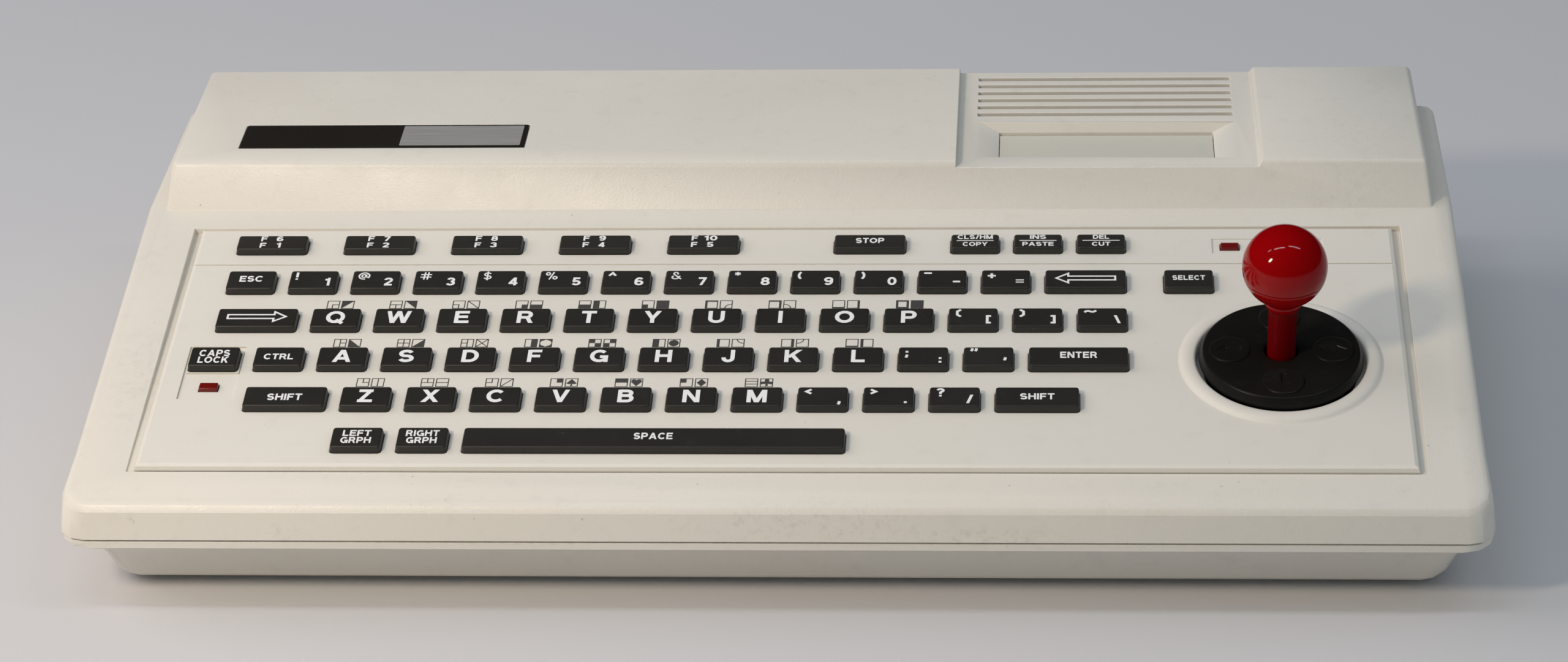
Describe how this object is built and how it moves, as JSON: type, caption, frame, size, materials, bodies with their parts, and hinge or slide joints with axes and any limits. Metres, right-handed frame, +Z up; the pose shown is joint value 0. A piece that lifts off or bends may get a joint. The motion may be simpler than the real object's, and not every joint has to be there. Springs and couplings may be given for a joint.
{
  "type": "home_computer",
  "caption": "Vintage wedge home computer with dark keys, a red ball joystick on a cursor disc, a cartridge bay under vents, a rocker power switch and rear sockets",
  "frame": {"origin": "under the middle of the case's box, on the plane that the four feet stand on", "axes": "+X right as the typist sees it, +Y away from the typist towards the rear sockets, +Z up"},
  "size_m": [0.4074, 0.2152, 0.0916],
  "materials": {
    "case_plastic": "warm pale grey moulded plastic with a fine grain",
    "key_plastic": "dark brown-grey keycaps with printed pale legends",
    "black_plastic": "black moulded plastic",
    "ball_plastic": "polished deep red plastic",
    "lamp_plastic": "dark red translucent lens, unlit",
    "board_laminate": "green circuit board",
    "rubber": "black rubber",
    "bright_metal": "plated steel",
    "badge_metal": "thin bare plate, dark with a grey field",
    "ribbon_plastic": "grey flat cable"
  },
  "bodies": {
    "case": {"badge_plate": "badge_metal", "caps_lens": "lamp_plastic", "cartridge_connector": "black_plastic", "case_screw_front_left": "bright_metal", "case_screw_front_right": "bright_metal", "case_screw_rear_left": "bright_metal", "case_screw_rear_right": "bright_metal", "contact_mat": "rubber", "door_pin": "bright_metal", "expansion_socket": "black_plastic", "foot_front_left": "rubber", "foot_front_right": "rubber", "foot_rear_left": "rubber", "foot_rear_right": "rubber", "joystick_housing": "black_plastic", "joystick_port_1": "black_plastic", "joystick_port_2": "black_plastic", "key_plate": "case_plastic", "keyboard_board": "board_laminate", "keyboard_ribbon": "ribbon_plastic", "lower_case": "case_plastic", "main_board": "board_laminate", "power_inlet": "black_plastic", "power_lens": "lamp_plastic", "signal_shield": "bright_metal", "switch_frame": "black_plastic", "tape_socket": "black_plastic", "upper_case": "case_plastic", "video_socket": "black_plastic"},
    "key_backspace": {"key_backspace": "key_plastic"},
    "key_caps_lock": {"key_caps_lock": "key_plastic"},
    "key_clear": {"key_clear": "key_plastic"},
    "key_control": {"key_control": "key_plastic"},
    "key_delete": {"key_delete": "key_plastic"},
    "key_enter": {"key_enter": "key_plastic"},
    "key_escape": {"key_escape": "key_plastic"},
    "key_f1": {"key_f1": "key_plastic"},
    "key_f2": {"key_f2": "key_plastic"},
    "key_f3": {"key_f3": "key_plastic"},
    "key_f4": {"key_f4": "key_plastic"},
    "key_f5": {"key_f5": "key_plastic"},
    "key_graph_left": {"key_graph_left": "key_plastic"},
    "key_graph_right": {"key_graph_right": "key_plastic"},
    "key_insert": {"key_insert": "key_plastic"},
    "key_select": {"key_select": "key_plastic"},
    "key_shift_left": {"key_shift_left": "key_plastic"},
    "key_shift_right": {"key_shift_right": "key_plastic"},
    "key_space": {"key_space": "key_plastic"},
    "key_stop": {"key_stop": "key_plastic"},
    "key_tab": {"key_tab": "key_plastic"},
    "keys_digit_row": {"keys_digit_row": "key_plastic"},
    "keys_upper_row": {"keys_upper_row": "key_plastic"},
    "keys_middle_row": {"keys_middle_row": "key_plastic"},
    "keys_lower_row": {"keys_lower_row": "key_plastic"},
    "gimbal": {"gimbal_ring": "bright_metal"},
    "stick": {"cursor_disc": "black_plastic", "joystick_shaft": "ball_plastic", "joystick_ball": "ball_plastic"},
    "door": {"cartridge_door": "case_plastic"},
    "rocker": {"power_rocker": "black_plastic"}
  },
  "joints": [
    {"name": "press_backspace", "type": "slide", "parent": "case", "child": "key_backspace", "axis": [0, 0.1472, -0.9891], "range_m": [0, 0.0018], "stiffness_N_per_m": 150, "springref_m": -0.002},
    {"name": "press_caps_lock", "type": "slide", "parent": "case", "child": "key_caps_lock", "axis": [0, 0.1472, -0.9891], "range_m": [0, 0.0018], "stiffness_N_per_m": 150, "springref_m": -0.002},
    {"name": "press_clear", "type": "slide", "parent": "case", "child": "key_clear", "axis": [0, 0.1472, -0.9891], "range_m": [0, 0.0018], "stiffness_N_per_m": 150, "springref_m": -0.002},
    {"name": "press_control", "type": "slide", "parent": "case", "child": "key_control", "axis": [0, 0.1472, -0.9891], "range_m": [0, 0.0018], "stiffness_N_per_m": 150, "springref_m": -0.002},
    {"name": "press_delete", "type": "slide", "parent": "case", "child": "key_delete", "axis": [0, 0.1472, -0.9891], "range_m": [0, 0.0018], "stiffness_N_per_m": 150, "springref_m": -0.002},
    {"name": "press_enter", "type": "slide", "parent": "case", "child": "key_enter", "axis": [0, 0.1472, -0.9891], "range_m": [0, 0.0018], "stiffness_N_per_m": 150, "springref_m": -0.002},
    {"name": "press_escape", "type": "slide", "parent": "case", "child": "key_escape", "axis": [0, 0.1472, -0.9891], "range_m": [0, 0.0018], "stiffness_N_per_m": 150, "springref_m": -0.002},
    {"name": "press_f1", "type": "slide", "parent": "case", "child": "key_f1", "axis": [0, 0.1472, -0.9891], "range_m": [0, 0.0018], "stiffness_N_per_m": 150, "springref_m": -0.002},
    {"name": "press_f2", "type": "slide", "parent": "case", "child": "key_f2", "axis": [0, 0.1472, -0.9891], "range_m": [0, 0.0018], "stiffness_N_per_m": 150, "springref_m": -0.002},
    {"name": "press_f3", "type": "slide", "parent": "case", "child": "key_f3", "axis": [0, 0.1472, -0.9891], "range_m": [0, 0.0018], "stiffness_N_per_m": 150, "springref_m": -0.002},
    {"name": "press_f4", "type": "slide", "parent": "case", "child": "key_f4", "axis": [0, 0.1472, -0.9891], "range_m": [0, 0.0018], "stiffness_N_per_m": 150, "springref_m": -0.002},
    {"name": "press_f5", "type": "slide", "parent": "case", "child": "key_f5", "axis": [0, 0.1472, -0.9891], "range_m": [0, 0.0018], "stiffness_N_per_m": 150, "springref_m": -0.002},
    {"name": "press_graph_left", "type": "slide", "parent": "case", "child": "key_graph_left", "axis": [0, 0.1472, -0.9891], "range_m": [0, 0.0018], "stiffness_N_per_m": 150, "springref_m": -0.002},
    {"name": "press_graph_right", "type": "slide", "parent": "case", "child": "key_graph_right", "axis": [0, 0.1472, -0.9891], "range_m": [0, 0.0018], "stiffness_N_per_m": 150, "springref_m": -0.002},
    {"name": "press_insert", "type": "slide", "parent": "case", "child": "key_insert", "axis": [0, 0.1472, -0.9891], "range_m": [0, 0.0018], "stiffness_N_per_m": 150, "springref_m": -0.002},
    {"name": "press_select", "type": "slide", "parent": "case", "child": "key_select", "axis": [0, 0.1472, -0.9891], "range_m": [0, 0.0018], "stiffness_N_per_m": 150, "springref_m": -0.002},
    {"name": "press_shift_left", "type": "slide", "parent": "case", "child": "key_shift_left", "axis": [0, 0.1472, -0.9891], "range_m": [0, 0.0018], "stiffness_N_per_m": 150, "springref_m": -0.002},
    {"name": "press_shift_right", "type": "slide", "parent": "case", "child": "key_shift_right", "axis": [0, 0.1472, -0.9891], "range_m": [0, 0.0018], "stiffness_N_per_m": 150, "springref_m": -0.002},
    {"name": "press_space", "type": "slide", "parent": "case", "child": "key_space", "axis": [0, 0.1472, -0.9891], "range_m": [0, 0.0018], "stiffness_N_per_m": 150, "springref_m": -0.002},
    {"name": "press_stop", "type": "slide", "parent": "case", "child": "key_stop", "axis": [0, 0.1472, -0.9891], "range_m": [0, 0.0018], "stiffness_N_per_m": 150, "springref_m": -0.002},
    {"name": "press_tab", "type": "slide", "parent": "case", "child": "key_tab", "axis": [0, 0.1472, -0.9891], "range_m": [0, 0.0018], "stiffness_N_per_m": 150, "springref_m": -0.002},
    {"name": "press_digit_row", "type": "slide", "parent": "case", "child": "keys_digit_row", "axis": [0, 0.1472, -0.9891], "range_m": [0, 0.0018], "stiffness_N_per_m": 600, "springref_m": -0.002},
    {"name": "press_upper_row", "type": "slide", "parent": "case", "child": "keys_upper_row", "axis": [0, 0.1472, -0.9891], "range_m": [0, 0.0018], "stiffness_N_per_m": 600, "springref_m": -0.002},
    {"name": "press_middle_row", "type": "slide", "parent": "case", "child": "keys_middle_row", "axis": [0, 0.1472, -0.9891], "range_m": [0, 0.0018], "stiffness_N_per_m": 600, "springref_m": -0.002},
    {"name": "press_lower_row", "type": "slide", "parent": "case", "child": "keys_lower_row", "axis": [0, 0.1472, -0.9891], "range_m": [0, 0.0018], "stiffness_N_per_m": 600, "springref_m": -0.002},
    {"name": "stick_forward_back", "type": "hinge", "parent": "case", "child": "gimbal", "pos_m": [0.1462, -0.04086, 0.04144], "axis": [1, 0, 0], "range_deg": [-6, 6], "stiffness_Nm_per_rad": 0.6},
    {"name": "stick_left_right", "type": "hinge", "parent": "gimbal", "child": "stick", "pos_m": [0.1462, -0.04086, 0.04144], "axis": [0, 0.9891, 0.1472], "range_deg": [-6, 6], "stiffness_Nm_per_rad": 0.6},
    {"name": "door_hinge", "type": "hinge", "parent": "case", "child": "door", "pos_m": [0.0967, 0.06745, 0.0643], "axis": [1, 0, 0], "range_deg": [0, 85], "stiffness_Nm_per_rad": 0.004, "springref_deg": -22.92},
    {"name": "rocker_hinge", "type": "hinge", "parent": "case", "child": "rocker", "pos_m": [0.1965, 0.085, 0.0466], "axis": [0, 0, 1], "range_deg": [0, 16]}
  ]
}
